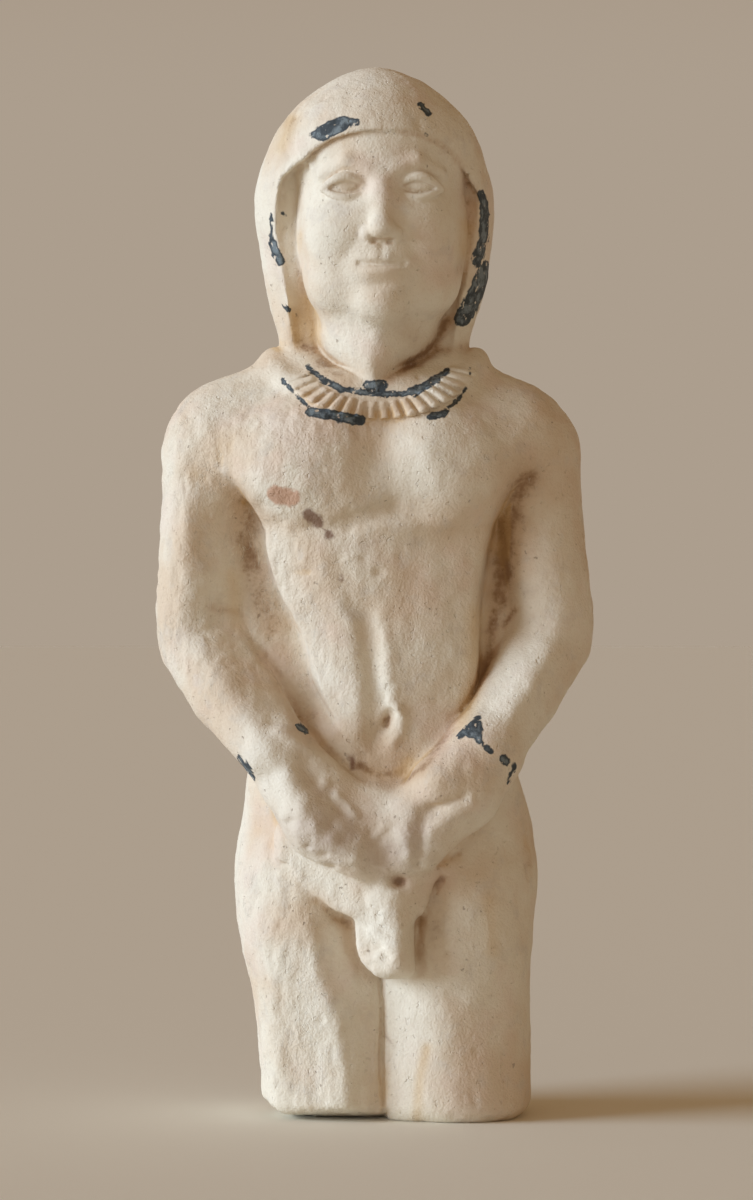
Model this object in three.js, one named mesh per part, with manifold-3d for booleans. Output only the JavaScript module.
import * as THREE from "three";
import { mergeVertices } from "three/addons/utils/BufferGeometryUtils.js";
import Module from "manifold-3d";

// Millimetres, Z up. The figure faces -Y, so its own left side is +X.
// Every form below is a field that is negative inside the stone.
const depthShift = -0.4;
const baseRounding = 3.2;
const webFront = -4.2;
const webBack = 7;
const openingDepth = 1;
const crownOrigin = 143;

// Stations run from top to bottom: height, right edge, left edge, front, back.
const trunk = stations(2.35, [
  [114, -9.5, 10.5, -9.0, 11.5],
  [111, -15.0, 15.6, -11.4, 12.6],
  [107, -20.5, 20.0, -13.6, 14.0],
  [103, -22.2, 22.2, -15.0, 15.0],
  [97, -21.0, 21.6, -15.6, 15.3],
  [92, -18.6, 18.8, -15.4, 15.0],
  [86, -16.8, 16.9, -14.5, 14.0],
  [78, -14.8, 15.7, -13.8, 12.8],
  [70, -13.8, 15.2, -14.0, 12.4],
  [62, -15.0, 17.4, -14.6, 13.4],
  [54, -18.6, 21.6, -14.6, 15.8],
  [45, -20.0, 24.0, -14.0, 17.6],
  [36, -20.4, 24.2, -13.4, 18.0],
  [29, -19.9, 23.8, -12.8, 16.8],
  [20, -18.2, 23.2, -12.8, 15.5],
]);
const rightThigh = stations(2.35, [
  [45, -20.3, 3.0, -11.5, 17.2],
  [36, -20.7, 2.4, -12.8, 16.6],
  [30, -20.7, 2.0, -13.4, 16.0],
  [26, -20.1, 2.2, -13.8, 15.4],
  [21.5, -19.0, 2.5, -14.0, 15.0],
  [17, -18.1, 2.5, -14.1, 14.6],
  [12.4, -17.7, 2.5, -14.0, 14.4],
  [8, -17.4, 2.5, -13.9, 14.2],
  [-3, -17.0, 2.5, -13.7, 14.2],
]);
const leftThigh = stations(2.35, [
  [45, 0.0, 24.1, -11.5, 17.2],
  [36, 1.0, 24.7, -12.8, 16.6],
  [30, 1.4, 24.6, -13.6, 16.0],
  [26, 1.5, 24.4, -14.0, 15.5],
  [21.5, 1.3, 24.1, -14.4, 15.0],
  [17, 1.2, 23.9, -14.6, 14.8],
  [12.4, 1.2, 24.0, -14.6, 14.6],
  [8, 1.2, 24.1, -14.5, 14.4],
  [-3, 1.2, 24.0, -14.3, 14.4],
]);
const thighBridge = stations(3, [
  [45, -9, 12, -9.4, 10.4],
  [-5, -9, 12, -9.4, 10.4],
]);
const armWeb = stations(4, [
  [104, -25, 25, webFront, webBack],
  [76, -24.5, 25.2, webFront, webBack],
  [66, -19.5, 21.5, webFront, webBack],
  [56, -14.5, 18.5, webFront, webBack],
]);
const neck = stations(1.7, [
  [126, -9.0, 11.2, -10.0, 8],
  [121.4, -7.8, 9.0, -12.0, 8],
  [118, -6.6, 7.4, -12.3, 9],
  [114.4, -5.0, 5.4, -11.6, 10],
  [111, -4.4, 4.8, -11.2, 10],
  [106, -4.2, 4.6, -11.0, 10],
]);
const hood = stations(2.6, [
  [146, -17.0, 17.3, -7.4, 19.0],
  [140, -17.6, 18.1, -8.0, 19.6],
  [135, -17.5, 18.3, -8.0, 19.0],
  [130.6, -17.2, 18.0, -7.6, 17.8],
  [126, -16.4, 17.1, -7.2, 16.0],
  [121.5, -15.2, 15.6, -6.6, 13.8],
  [119, -14.5, 14.8, -6.0, 12.5],
  [115, -14.4, 14.4, -5.0, 11.5],
]);
// The opening of the wig, in which the face and the neck stand: its right and its left edge.
const opening = stations(2, [
  [147, -13.4, 14.4, 0, 1],
  [142, -14.4, 15.4, 0, 1],
  [134, -14.4, 15.4, 0, 1],
  [130, -13.7, 14.7, 0, 1],
  [125, -12.6, 13.7, 0, 1],
  [120, -11.5, 12.8, 0, 1],
  [116, -10.8, 12.2, 0, 1],
]);

const rightArm = {
  cap: { centre: [-22.8, 0.2, 100.8], radii: [9.0, 9.6, 10.8] },
  yoke: { from: [-9.5, 1.5, 110.2], to: [-21.8, 0.8, 102.6] },
  shoulder: [-24.5, -0.4, 99],
  bend: [-26.7, -1.4, 76.4],
  elbow: [-26.4, -2.0, 73.4],
  middle: [-21.0, -7.6, 64.4],
  wrist: [-14.8, -13.4, 56.2],
  middleRadius: 6.4,
  wristRadius: 5.4,
};
const leftArm = {
  cap: { centre: [22.0, 0.2, 100.4], radii: [9.1, 9.6, 10.8] },
  yoke: { from: [9.5, 1.5, 109.8], to: [21.0, 0.8, 102.2] },
  shoulder: [24.2, -0.4, 99],
  bend: [27.1, -1.4, 76.0],
  elbow: [26.8, -2.0, 73.4],
  middle: [22.2, -7.6, 64.6],
  wrist: [17.0, -13.4, 56.6],
  middleRadius: 6.1,
  wristRadius: 5.3,
};
const armRadius = 7.2;
const bendRadius = 6.6;
const elbowRadius = 6.7;

const head = { x: 1.3, eyeHeight: 140, eyeSpread: 5.3, browHeight: 143.4, noseBase: 132.8, mouthHeight: 127.9 };
// The lower edge of the right thigh is worn away towards the front and the outer side.
const wear = { from: -5, slope: 0.25, sideFrom: -13, sideSlope: 0.4, innerEdge: 2 };
const fringe = { centre: 1.4, top: 149.5, drop: 4.2, halfWidth: 12.4 };

const collar = {
  ring: { centre: [0.2, 0.6, 116.0], half: [15.4, 12.4, 8.2] },
  band: { centre: [0.7, 0.6, 116.0], half: [13.3, 12.4, 8.2] },
  tube: 1.7,
  bandInner: 0.86,
  bandOuter: 1.16,
  ribs: 27,
  start: 14,
  proud: 0.35,
  ribHeight: 0.45,
  thickness: 1.4,
};

// Grid of the outer surface: rows up the figure and columns round it.
const rowSpacing = [
  [0, 0.5],
  [2.5, 1.6],
  [24, 2.6],
  [36, 1.5],
  [60, 1.8],
  [80, 2.9],
  [100, 2.2],
  [106, 1.4],
  [122, 1.4],
  [143, 1.4],
];
const crownRows = 9;
const frontColumns = 29;
const sideColumns = 6;
const backColumns = 9;
const settlingRounds = 3;

function stations(power, rows) {
  const sorted = [...rows].sort((a, b) => a[0] - b[0]);
  const heights = sorted.map((row) => row[0]);
  const columns = [1, 2, 3, 4].map((i) => {
    const values = sorted.map((row) => row[i]);
    return { values, slopes: slopesOf(heights, values) };
  });
  return { power, heights, columns };
}

function slopesOf(heights, values) {
  const last = heights.length - 1;
  return heights.map((_, i) => {
    if (i === 0) return (values[1] - values[0]) / (heights[1] - heights[0]);
    if (i === last) return (values[last] - values[last - 1]) / (heights[last] - heights[last - 1]);
    const below = heights[i] - heights[i - 1];
    const above = heights[i + 1] - heights[i];
    const slopeBelow = (values[i] - values[i - 1]) / below;
    const slopeAbove = (values[i + 1] - values[i]) / above;
    return (slopeBelow * above + slopeAbove * below) / (below + above);
  });
}

// The value of one column of a table of stations at a height, as a smooth curve.
function curve(table, column, z) {
  const { heights } = table;
  const { values, slopes } = table.columns[column];
  const at = Math.min(Math.max(z, heights[0]), heights[heights.length - 1]);
  let i = 0;
  while (i < heights.length - 2 && heights[i + 1] < at) i += 1;
  const h = heights[i + 1] - heights[i];
  const t = (at - heights[i]) / h;
  const t2 = t * t;
  const t3 = t2 * t;
  return (
    (2 * t3 - 3 * t2 + 1) * values[i] +
    (t3 - 2 * t2 + t) * h * slopes[i] +
    (3 * t2 - 2 * t3) * values[i + 1] +
    (t3 - t2) * h * slopes[i + 1]
  );
}

function mix(a, b, t) {
  return a + (b - a) * t;
}

function ease(low, high, v) {
  const t = Math.min(Math.max((v - low) / (high - low), 0), 1);
  return t * t * (3 - 2 * t);
}

function smoothMin(a, b, k) {
  const h = Math.min(Math.max(0.5 + (0.5 * (b - a)) / k, 0), 1);
  return b + (a - b) * h - k * h * (1 - h);
}

function smoothMax(a, b, k) {
  return -smoothMin(-a, -b, k);
}

function roundMax(a, b, r) {
  return Math.min(-r, Math.max(a, b)) + Math.hypot(Math.max(r + a, 0), Math.max(r + b, 0));
}

function egg(p, centre, radii) {
  const q = [0, 1, 2].map((i) => (p[i] - centre[i]) / radii[i]);
  const k0 = Math.hypot(q[0], q[1], q[2]);
  const k1 = Math.hypot(q[0] / radii[0], q[1] / radii[1], q[2] / radii[2]);
  return (k0 * (k0 - 1)) / Math.max(k1, 1e-6);
}

// A tapering round bar from a to b. Depth squeezes it along Y.
function limb(p, a, b, ra, rb, depth = 1) {
  const dx = b[0] - a[0];
  const dy = (b[1] - a[1]) / depth;
  const dz = b[2] - a[2];
  const px = p[0] - a[0];
  const py = (p[1] - a[1]) / depth;
  const pz = p[2] - a[2];
  const along = (px * dx + py * dy + pz * dz) / (dx * dx + dy * dy + dz * dz);
  const t = Math.min(Math.max(along, 0), 1);
  return Math.hypot(px - t * dx, py - t * dy, pz - t * dz) - mix(ra, rb, t);
}

// A column through a table of stations, with a rounded rectangular section.
function column(p, table) {
  const right = curve(table, 0, p[2]);
  const left = curve(table, 1, p[2]);
  const front = curve(table, 2, p[2]);
  const back = curve(table, 3, p[2]);
  const a = (left - right) / 2;
  const b = (back - front) / 2;
  const qx = Math.abs(p[0] - (left + right) / 2) / a;
  const qy = Math.abs(p[1] - (front + back) / 2) / b;
  const k0 = (qx ** table.power + qy ** table.power) ** (1 / table.power);
  const k1 = Math.hypot(qx / a, qy / b) / Math.max(Math.hypot(qx, qy), 1e-6);
  return (k0 - 1) / Math.max(k1, 1e-6);
}

// The soft mark of a tool drawn along a path seen from the front: 1 on the path, 0 well away from it.
function stroke(p, path, width) {
  let nearest = Infinity;
  for (let i = 0; i < path.length - 1; i += 1) {
    const [x0, z0] = path[i];
    const [x1, z1] = path[i + 1];
    const dx = x1 - x0;
    const dz = z1 - z0;
    const along = ((p[0] - x0) * dx + (p[2] - z0) * dz) / (dx * dx + dz * dz);
    const t = Math.min(Math.max(along, 0), 1);
    nearest = Math.min(nearest, Math.hypot(p[0] - x0 - t * dx, p[2] - z0 - t * dz));
  }
  return Math.exp(-((nearest / width) ** 2));
}

function trunkField(p) {
  let d = column(p, trunk);
  d = smoothMin(d, egg(p, [-9.8, -8.4, 98.2], [11.4, 8.0, 8.6]), 5);
  d = smoothMin(d, egg(p, [10.6, -8.4, 98.0], [11.8, 8.0, 8.6]), 5);
  for (const x of [-7.6, 11.4]) d = smoothMin(d, egg(p, [x, 7.2, 41], [12.0, 11.3, 10.5]), 4);
  for (const x of [-10.5, 10.5]) d = smoothMin(d, egg(p, [x, 8.4, 98], [8.5, 7.2, 10]), 4);
  return smoothMax(smoothMax(d, 29 - p[2], 10), p[2] - 114, 3);
}

function armField(p, arm) {
  let d = egg(p, arm.cap.centre, arm.cap.radii);
  d = smoothMin(d, limb(p, arm.shoulder, arm.bend, armRadius, bendRadius, 1.12), 3);
  d = smoothMin(d, limb(p, arm.elbow, arm.middle, elbowRadius, arm.middleRadius), 1.2);
  return smoothMin(d, limb(p, arm.middle, arm.wrist, arm.middleRadius, arm.wristRadius), 0.8);
}

function rightHand(p) {
  let d = limb(p, [-14.8, -13.6, 56.2], [-7.8, -14.8, 45.6], 5.4, 6.2, 0.92);
  d = smoothMin(d, limb(p, [-12.4, -14.6, 54.8], [-0.6, -15.6, 46.6], 3.8, 3.0), 1.5);
  return smoothMin(d, limb(p, [-8.0, -15.0, 43.2], [0.2, -15.2, 39.6], 4.6, 4.3), 2);
}

function leftHand(p) {
  let d = limb(p, [16.2, -13.8, 55.2], [12.6, -14.8, 50.2], 6.0, 6.5, 0.9);
  d = smoothMin(d, limb(p, [12.6, -14.8, 50.2], [4.8, -15.4, 43.0], 6.5, 5.9, 0.86), 1);
  return smoothMin(d, limb(p, [9.4, -18.4, 50.6], [2.0, -19.0, 45.4], 2.3, 1.7), 1.2);
}

function legField(p) {
  let d = smoothMin(column(p, rightThigh), column(p, leftThigh), 0.8);
  d = smoothMin(d, column(p, thighBridge), 1.5);
  d = smoothMax(d, p[2] - 42, 8);
  d = roundMax(d, -0.25 - p[2], baseRounding);
  const wornFront = p[2] + (p[1] - wear.from) * wear.slope;
  const wornSide = p[2] + (p[0] - wear.sideFrom) * wear.sideSlope;
  return smoothMax(d, -Math.max(Math.min(wornFront, wornSide), p[0] - wear.innerEdge), 1);
}

function groinField(p) {
  const mass = limb(p, [2.2, -11.2, 36.0], [2.3, -12.9, 26.6], 4.0, 4.7);
  return smoothMin(mass, limb(p, [0.2, -14.4, 36.0], [1.2, -15.6, 27.0], 2.0, 2.5), 2);
}

function headField(p) {
  const { x, eyeHeight, eyeSpread, browHeight, noseBase, mouthHeight } = head;
  const sides = [-1, 1];
  let d = egg(p, [x, -1.0, 139.0], [13.2, 16.2, 18.6]);
  d = smoothMin(d, egg(p, [x, -4.2, 133.0], [12.9, 13.4, 13.4]), 2);
  d = smoothMin(d, egg(p, [x, -12.6, 123.4], [4.6, 4.4, 3.9]), 3.5);
  for (const s of sides) d = smoothMin(d, egg(p, [x + s * 6.0, -7.6, 126.2], [5.6, 6.8, 5.4]), 2.5);
  for (const s of sides) d = smoothMin(d, egg(p, [x + s * 6.4, -11.4, 133.4], [4.4, 4.8, 5.0]), 3);
  for (const s of sides) {
    d = smoothMax(d, -egg(p, [x + s * eyeSpread, -18.0, eyeHeight + 0.4], [3.9, 2.3, 2.3]), 2);
  }
  for (const s of sides) {
    const brow = limb(p, [x + s * 2.6, -15.2, browHeight], [x + s * 8.2, -12.9, browHeight - 0.2], 0.9, 0.6);
    d = smoothMin(d, brow, 2);
  }
  d = smoothMin(d, limb(p, [x, -15.6, browHeight - 1.2], [x, -17.8, noseBase + 0.8], 1.1, 1.7), 1.6);
  for (const s of sides) d = smoothMin(d, egg(p, [x + s * 1.8, -16.4, noseBase], [1.3, 1.6, 1.2]), 0.9);
  for (const s of sides) d = smoothMin(d, egg(p, [x + s * eyeSpread, -13.2, eyeHeight], [2.9, 2.9, 1.6]), 0.6);
  d = smoothMin(d, egg(p, [x, -14.0, mouthHeight - 0.1], [4.8, 3.0, 3.0]), 2);
  d = smoothMin(d, egg(p, [x, -15.7, mouthHeight + 1.0], [3.7, 1.6, 0.8]), 0.7);
  return smoothMin(d, egg(p, [x, -15.6, mouthHeight - 1.0], [3.1, 1.6, 0.9]), 0.7);
}

function neckField(p) {
  return smoothMax(smoothMax(column(p, neck), p[2] - 126, 2), 106 - p[2], 2);
}

function wigField(p) {
  const [x, y, z] = p;
  let d = smoothMax(column(p, hood), z - 145, 6);
  d = smoothMin(d, egg(p, [0.2, 1.6, 140.6], [17.7, 17.4, 18.4]), 3);
  const sides = Math.max(curve(opening, 0, z) - x, x - curve(opening, 1, z));
  d = smoothMax(d, -Math.max(sides, y - openingDepth, z - 146.5), 1);
  d = smoothMax(d, 117 - z - 0.2 * Math.abs(x), 1);
  const edge = fringe.top - fringe.drop * (Math.abs(x - fringe.centre) / fringe.halfWidth) ** 2.2;
  const cap = egg(p, [0.4, -0.4, 145.2], [14.4, 16.2, 14.8]);
  return smoothMin(d, roundMax(cap, Math.max(edge - z, y - 3, -11.3 - x), 0.4), 0.6);
}

function ringPoint(ring, degrees, scale = 1) {
  const t = (degrees * Math.PI) / 180;
  const [x, y, z] = ring.centre;
  const [hx, hy, hz] = ring.half;
  return [x + hx * scale * Math.cos(t), y - hy * scale * Math.sin(t), z - hz * scale * Math.sin(t)];
}

function collarField(p) {
  let d = Infinity;
  for (let a = 0; a < 180; a += 15) {
    const part = limb(p, ringPoint(collar.ring, a), ringPoint(collar.ring, a + 15), collar.tube, collar.tube);
    d = Math.min(d, part);
  }
  return d;
}

// Shallow hollows and folds, in millimetres of depth.
function foldDepth(p) {
  const [x, y, z] = p;
  const front = ease(-2, -6, y);
  const back = ease(4, 9, y);
  let depth = 0;
  if (front > 0 && z > 18 && z < 110) {
    depth += 0.7 * stroke(p, [[0.2, 78], [0.2, 60], [0.4, 52]], 2.4) * ease(80, 66, z);
    depth -= 0.5 * stroke(p, [[1.6, 74], [2.6, 66], [4.2, 58]], 1.6) * ease(77, 68, z);
    depth += 1.1 * Math.exp(-((Math.hypot(x - 2.9, z - 60.3) / 0.9) ** 2));
    depth += 0.4 * stroke(p, [[0.4, 106], [0.6, 98], [1.6, 93]], 3.5);
    depth += 0.5 * stroke(p, [[-14.5, 91.0], [-10, 89.9], [-5, 90.0], [-0.5, 91.6], [3.5, 93.2]], 1.5);
    depth += 0.3 * stroke(p, [[3, 92.8], [8, 90.8], [13, 89.9], [18.0, 90.8]], 1.5);
    depth += 1.7 * stroke(p, [[-16, 80], [-13.2, 72], [-11, 65], [-9.5, 59]], 3.2);
    depth += 0.8 * stroke(p, [[16.4, 78], [15.2, 70], [14, 63]], 3.2);
    depth += 1.0 * stroke(p, [[-12, 36.6], [-9, 33.6], [-5, 30.4], [-2.6, 28.8], [-1, 24]], 1.2) * ease(-13, -7, x);
    depth += 1.3 * stroke(p, [[10.6, 36.4], [8.4, 32.6], [7.0, 29.0], [6.4, 25.0]], 1.1);
    depth *= front;
  }
  if (back > 0) {
    depth += back * 0.8 * stroke(p, [[0.3, 108], [0.5, 80], [1.5, 56]], 2.2);
    depth += back * 1.6 * stroke(p, [[1.8, 52], [1.8, 30]], 1.6);
  }
  return depth;
}

function figureField(at) {
  const p = [at[0], at[1] + depthShift, at[2]];
  const z = p[2];
  let d = 60;
  if (z < 122) d = trunkField(p);
  if (z < 60) d = smoothMin(d, legField(p), 3);
  if (z > 50 && z < 112) {
    const web = smoothMax(smoothMax(column(p, armWeb), z - 102, 2), 58 - z, 2);
    d = smoothMin(d, web, 1.2);
  }
  if (z < 122) {
    for (const arm of [rightArm, leftArm]) {
      d = smoothMin(d, armField(p, arm), 1 + 4.5 * ease(88, 104, z));
      d = smoothMin(d, limb(p, arm.yoke.from, arm.yoke.to, 8, 8), 3);
    }
  }
  if (z > 98) d = smoothMin(d, neckField(p), 1);
  if (z < 70) {
    d = smoothMin(d, rightHand(p), 0.8);
    d = smoothMin(d, leftHand(p), 0.5);
    d = smoothMin(d, groinField(p), 1);
  }
  d += foldDepth(p);
  if (z > 100) d = smoothMin(d, collarField(p), 1.6);
  if (z > 108) d = smoothMin(d, smoothMin(headField(p), wigField(p), 0.3), 0.8);
  return d;
}

// The outermost point of the stone on a ray that comes in from outside.
function surfaceAlong(origin, direction, reach = 44) {
  const at = (t) => [0, 1, 2].map((i) => origin[i] + direction[i] * t);
  let outside = reach;
  let inside = 0;
  for (let t = reach; t > 0; ) {
    const d = figureField(at(t));
    if (d < 0) {
      inside = t;
      break;
    }
    outside = t;
    t -= Math.min(Math.max(0.6 * d, 0.35), 4);
  }
  for (let i = 0; i < 14; i += 1) {
    const middle = (inside + outside) / 2;
    if (figureField(at(middle)) < 0) inside = middle;
    else outside = middle;
  }
  return at((inside + outside) / 2);
}

function rowHeights() {
  const rows = [];
  let z = 0;
  while (z < crownOrigin) {
    rows.push(z);
    let i = rowSpacing.length - 2;
    while (i > 0 && rowSpacing[i][0] > z) i -= 1;
    const [from, a] = rowSpacing[i];
    const [to, b] = rowSpacing[i + 1];
    z += mix(a, b, Math.min(Math.max((z - from) / (to - from), 0), 1));
  }
  rows.push(crownOrigin);
  return rows;
}

// The core is a level line inside the figure: height, right end, left end, distance behind the middle.
// Rays leave it square to the front and the back, and fan out round its two ends.
const core = stations(2, [
  [143, -14.0, 14.6, 5, 6],
  [134, -14.6, 15.6, 5, 6],
  [122, -12.4, 13.2, 5, 6],
  [116, -12.4, 13.2, 4, 5],
  [108, -19, 19, 1, 2],
  [100, -22, 22, 0, 1],
  [76, -24, 25, 0, 1],
  [66, -19, 21, 0, 1],
  [56, -12, 15, 0, 1],
  [40, -11, 15, 0, 1],
  [0, -9.5, 15.5, 0, 1],
]);

function coreRays(z, lift) {
  const shrink = Math.cos(lift) ** 0.8;
  const middle = (curve(core, 0, z) + curve(core, 1, z)) / 2;
  const half = ((curve(core, 1, z) - curve(core, 0, z)) / 2) * shrink;
  const rays = [];
  const add = (x, turn) => {
    const flat = [Math.sin(turn), -Math.cos(turn)];
    rays.push({
      origin: [middle + x, curve(core, 2, z), z],
      direction: [flat[0] * Math.cos(lift), flat[1] * Math.cos(lift), Math.sin(lift)],
    });
  };
  for (let i = 0; i < frontColumns; i += 1) {
    const s = (2 * i) / (frontColumns - 1) - 1;
    add(half * (1.25 * s - 0.25 * s ** 3), 0.12 * s ** 7);
  }
  for (let i = 1; i <= sideColumns; i += 1) add(half, mix(0.12, Math.PI - 0.2, i / (sideColumns + 1)));
  for (let i = 0; i < backColumns; i += 1) {
    const s = 1 - (2 * i) / (backColumns - 1);
    add(half * s, Math.PI - 0.2 * s ** 3);
  }
  for (let i = 1; i <= sideColumns; i += 1) add(-half, mix(-Math.PI + 0.2, -0.12, i / (sideColumns + 1)));
  return rays;
}

function figureGeometry() {
  const rings = rowHeights().map((z) => coreRays(z, 0));
  for (let i = 1; i < crownRows; i += 1) rings.push(coreRays(crownOrigin, (i / crownRows) * (Math.PI / 2)));
  const count = rings[0].length;
  const points = [];
  for (const ring of rings) {
    for (const ray of ring) points.push(surfaceAlong(ray.origin, ray.direction));
  }
  const base = points.length;
  points.push([2, 0, 0]);
  const crownMiddle = (curve(core, 0, crownOrigin) + curve(core, 1, crownOrigin)) / 2;
  points.push(surfaceAlong([crownMiddle, curve(core, 2, crownOrigin), crownOrigin], [0, 0, 1]));
  for (let i = 0; i < settlingRounds; i += 1) settle(points, rings.length, count);
  const index = [];
  rings.forEach((_, r) => {
    for (let i = 0; i < count; i += 1) {
      const j = (i + 1) % count;
      const a = r * count + i;
      const b = r * count + j;
      if (r === 0) index.push(base, b, a);
      if (r === rings.length - 1) {
        index.push(a, b, base + 1);
        continue;
      }
      const c = a + count;
      const d = b + count;
      if (offSurface(points[a], points[d]) < offSurface(points[b], points[c])) index.push(a, b, d, a, d, c);
      else index.push(a, b, c, b, d, c);
    }
  });
  return geometryOf(points, index);
}

// Evens out the grid: each point moves towards the middle of its neighbours and back onto the surface.
function settle(points, ringCount, count) {
  const before = points.map((p) => [...p]);
  for (let r = 1; r < ringCount; r += 1) {
    for (let i = 0; i < count; i += 1) {
      const k = r * count + i;
      const above = r === ringCount - 1 ? before[ringCount * count + 1] : before[k + count];
      const sides = [before[r * count + ((i + 1) % count)], before[r * count + ((i + count - 1) % count)]];
      const around = [above, before[k - count], ...sides];
      const moved = [0, 1, 2].map((c) => mix(before[k][c], around.reduce((sum, q) => sum + q[c], 0) / 4, 0.5));
      points[k] = ontoSurface(moved);
    }
  }
}

function ontoSurface(start) {
  let p = start;
  for (let i = 0; i < 2; i += 1) {
    const d = figureField(p);
    const step = 0.05;
    const slope = [0, 1, 2].map((c) => {
      const q = [...p];
      q[c] += step;
      return (figureField(q) - d) / step;
    });
    const steepness = Math.max(slope[0] ** 2 + slope[1] ** 2 + slope[2] ** 2, 0.3);
    const move = Math.min(Math.max(d, -0.8), 0.8) / steepness;
    p = p.map((v, c) => v - slope[c] * move);
  }
  p[2] = Math.max(p[2], 0.15);
  return p;
}

// How far the middle of an edge lies off the surface.
function offSurface(a, b) {
  const middle = a.map((v, c) => (v + b[c]) / 2);
  return Math.abs(figureField(middle)) + 0.02 * Math.hypot(a[0] - b[0], a[1] - b[1], a[2] - b[2]);
}

function geometryOf(points, index) {
  const geometry = new THREE.BufferGeometry();
  geometry.setAttribute("position", new THREE.Float32BufferAttribute(points.flat(), 3));
  geometry.setIndex(index);
  return mergeVertices(geometry, 1e-4);
}

// The ribbed band of the collar: a strip bedded in the chest, with a crest on each rib.
function ribbedBand() {
  const steps = collar.ribs * 2;
  const points = [];
  const index = [];
  for (let i = 0; i <= steps; i += 1) {
    const degrees = mix(collar.start, 180 - collar.start, i / steps);
    const fade = ease(0, 0.08, i / steps) * ease(1, 0.92, i / steps);
    const crest = i % 2 ? collar.ribHeight : 0;
    const level = (collar.proud + crest) * fade - 0.35 * (1 - fade);
    const section = [];
    for (const scale of [collar.bandInner, (collar.bandInner + collar.bandOuter) / 2, collar.bandOuter]) {
      const seat = ringPoint(collar.band, degrees, scale);
      const out = new THREE.Vector3(0.25 * Math.cos((degrees * Math.PI) / 180), -1, -0.25).normalize();
      const foot = surfaceAlong([seat[0], 4, seat[2]], [0, -1, 0], 34);
      section.push({ foot, out });
    }
    const edge = level - 0.25;
    const heights = [edge, level, edge];
    const top = section.map(({ foot, out }, k) => lifted(foot, out, heights[k]));
    const under = section.map(({ foot, out }) => lifted(foot, out, -collar.thickness));
    points.push(top[0], top[1], top[2], under[2], under[1], under[0]);
  }
  for (let i = 0; i < steps; i += 1) {
    for (let k = 0; k < 6; k += 1) {
      const a = i * 6 + k;
      const b = i * 6 + ((k + 1) % 6);
      index.push(a, a + 6, b, b, a + 6, b + 6);
    }
  }
  const last = steps * 6;
  for (let k = 1; k < 5; k += 1) index.push(0, k, k + 1, last, last + k + 1, last + k);
  return geometryOf(points, index);
}

function lifted(foot, out, by) {
  return [foot[0] + out.x * by, foot[1] + out.y * by, foot[2] + out.z * by];
}

const wasm = await Module();
wasm.setup();

function solidOf(geometry) {
  const vertProperties = geometry.attributes.position.array;
  const solid = new wasm.Manifold(
    new wasm.Mesh({ numProp: 3, vertProperties, triVerts: new Uint32Array(geometry.index.array) }),
  );
  if (solid.volume() > 0) return solid;
  const turned = new Uint32Array(geometry.index.array);
  for (let i = 0; i < turned.length; i += 3) [turned[i + 1], turned[i + 2]] = [turned[i + 2], turned[i + 1]];
  return new wasm.Manifold(new wasm.Mesh({ numProp: 3, vertProperties, triVerts: turned }));
}

const joined = solidOf(figureGeometry()).add(solidOf(ribbedBand()));
const carved = joined.getMesh();
const geometry = new THREE.BufferGeometry();
geometry.setAttribute("position", new THREE.BufferAttribute(new Float32Array(carved.vertProperties), 3));
geometry.setIndex(new THREE.BufferAttribute(new Uint32Array(carved.triVerts), 1));
geometry.computeVertexNormals();

const stone = new THREE.MeshStandardMaterial({ color: 0xded0be, roughness: 0.9, metalness: 0 });
const figure = new THREE.Mesh(geometry, stone);
figure.name = "standing_figure";

const part = new THREE.Group();
part.name = "offering_bearer_statuette";
part.add(figure);

export default part;
